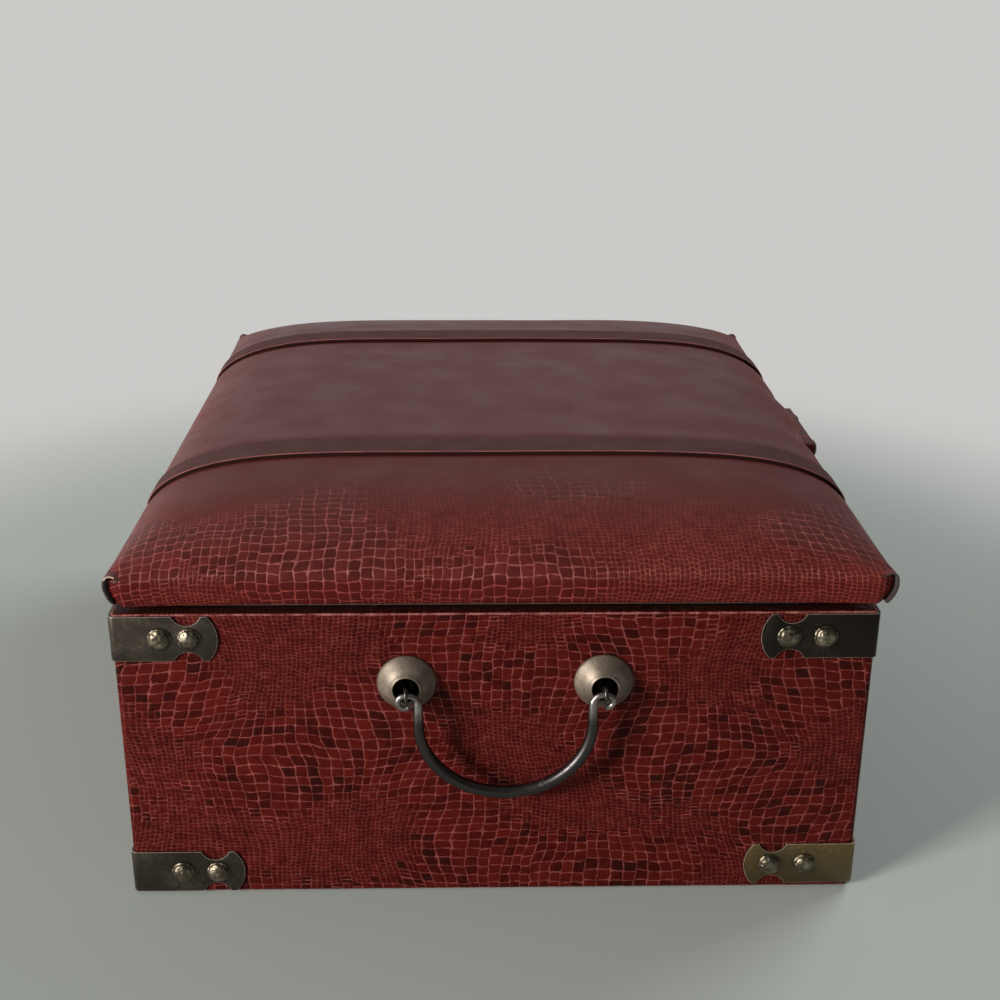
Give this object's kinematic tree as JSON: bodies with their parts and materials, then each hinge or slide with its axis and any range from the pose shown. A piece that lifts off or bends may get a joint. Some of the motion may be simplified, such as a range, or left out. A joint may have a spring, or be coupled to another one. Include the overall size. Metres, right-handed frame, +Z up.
{
  "type": "padded storage box",
  "caption": "Rectangular leathercloth-covered storage box with a cushioned hinged lid, lid straps, studded corner plates, a closure flap and swinging bail handles.",
  "frame": {"origin": "middle of the underside, on the surface the box stands on", "axes": "+Z up; +X towards the front, which carries the closure flap; -X is the hinged back; the handles are on the -Y and +Y ends"},
  "size_m": [0.3459, 0.4234, 0.1867],
  "materials": {
    "leathercloth": "glossy embossed scales",
    "strap_leather": "satin",
    "lining": "matt felt",
    "board": "raw fibreboard",
    "foam": "soft",
    "bronze_plate": "antique bronze",
    "antique_brass": "antique brass",
    "dark_iron": "blackened, worn bright"
  },
  "bodies": {
    "box": {"base_board": "board", "base_sheet": "lining", "front_board": "board", "back_board": "board", "left_end_board": "board", "right_end_board": "board", "body_cover": "leathercloth", "wall_lining": "lining", "floor_lining": "lining", "upper_plate_back_left": "bronze_plate", "upper_plate_front_left": "bronze_plate", "upper_plate_back_right": "bronze_plate", "upper_plate_front_right": "bronze_plate", "lower_plate_back_left": "bronze_plate", "lower_plate_front_left": "bronze_plate", "lower_plate_back_right": "bronze_plate", "lower_plate_front_right": "bronze_plate", "upper_plate_studs": "antique_brass", "lower_plate_studs": "antique_brass", "left_rosettes": "antique_brass", "right_rosettes": "antique_brass", "left_eyes": "dark_iron", "right_eyes": "dark_iron", "left_eye_washers": "dark_iron", "right_eye_washers": "dark_iron", "hinge_body_leaves": "antique_brass", "hinge_pins": "antique_brass", "hinge_body_screws": "antique_brass", "closure_keeper": "antique_brass"},
    "lid": {"lid_board": "board", "foam_pad": "foam", "lid_cover": "leathercloth", "lid_liner": "lining", "left_strap": "strap_leather", "right_strap": "strap_leather", "hinge_lid_leaves": "antique_brass", "hinge_lid_screws": "antique_brass", "flap_anchor": "leathercloth", "flap_studs": "antique_brass"},
    "closure": {"flap_tongue": "leathercloth", "flap_magnet": "dark_iron"},
    "left_handle": {"left_bail": "dark_iron"},
    "right_handle": {"right_bail": "dark_iron"}
  },
  "joints": [
    {"name": "lid_hinge", "type": "hinge", "parent": "box", "child": "lid", "pos_m": [-0.1615, 0, 0.14425], "axis": [0, -1, 0], "range_deg": [0, 96]},
    {"name": "closure_fold", "type": "hinge", "parent": "lid", "child": "closure", "pos_m": [0.17202, 0, 0.1485], "axis": [0, -1, 0], "range_deg": [0, 100]},
    {"name": "left_bail_swing", "type": "hinge", "parent": "box", "child": "left_handle", "pos_m": [0.004, -0.2079, 0.1076], "axis": [-1, 0, 0], "range_deg": [-8, 175]},
    {"name": "right_bail_swing", "type": "hinge", "parent": "box", "child": "right_handle", "pos_m": [-0.004, 0.2079, 0.1076], "axis": [1, 0, 0], "range_deg": [-8, 175]}
  ]
}
